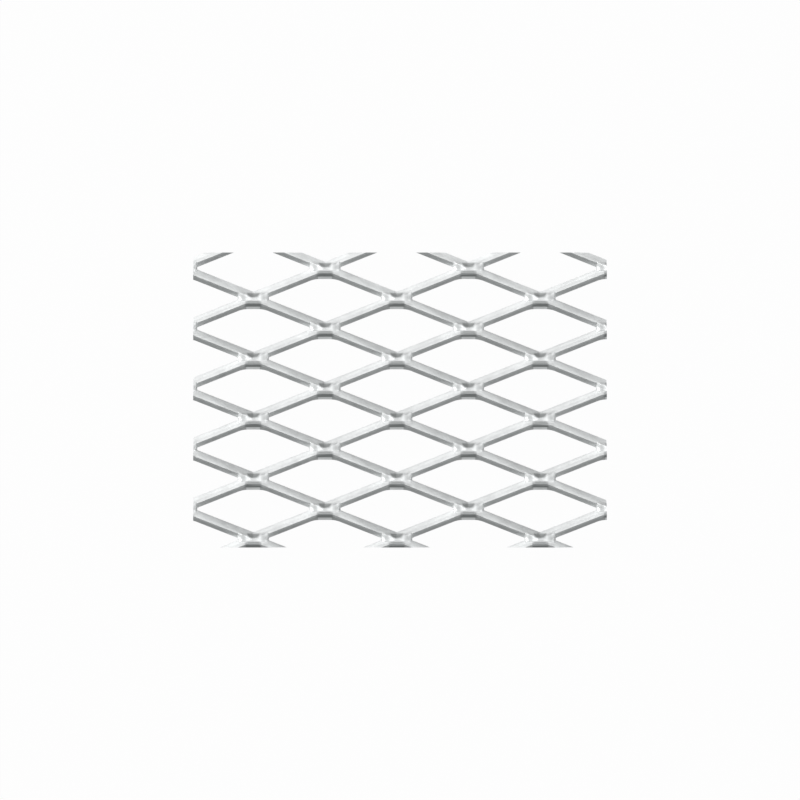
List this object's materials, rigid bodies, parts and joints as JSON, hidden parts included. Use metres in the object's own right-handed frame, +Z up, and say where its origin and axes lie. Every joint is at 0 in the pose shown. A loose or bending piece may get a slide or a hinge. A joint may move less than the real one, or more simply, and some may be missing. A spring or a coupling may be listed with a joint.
{
  "type": "raised expanded metal grille mesh sheet",
  "caption": "Flat rectangular sheet of raised aluminium expanded mesh with long diamond openings, the grating that car grilles are filled with.",
  "frame": {"origin": "middle of the sheet's rectangle, on the surface that it lies on", "axes": "+X along the long way of the diamonds, +Y along the short way, upwards in the picture, +Z up through the sheet towards the camera"},
  "size_m": [0.0878, 0.0628, 0.0054],
  "materials": {
    "mesh_metal": "bright mill finish with sheared edges"
  },
  "bodies": {
    "root": {"mesh_sheet": "mesh_metal"}
  },
  "joints": []
}
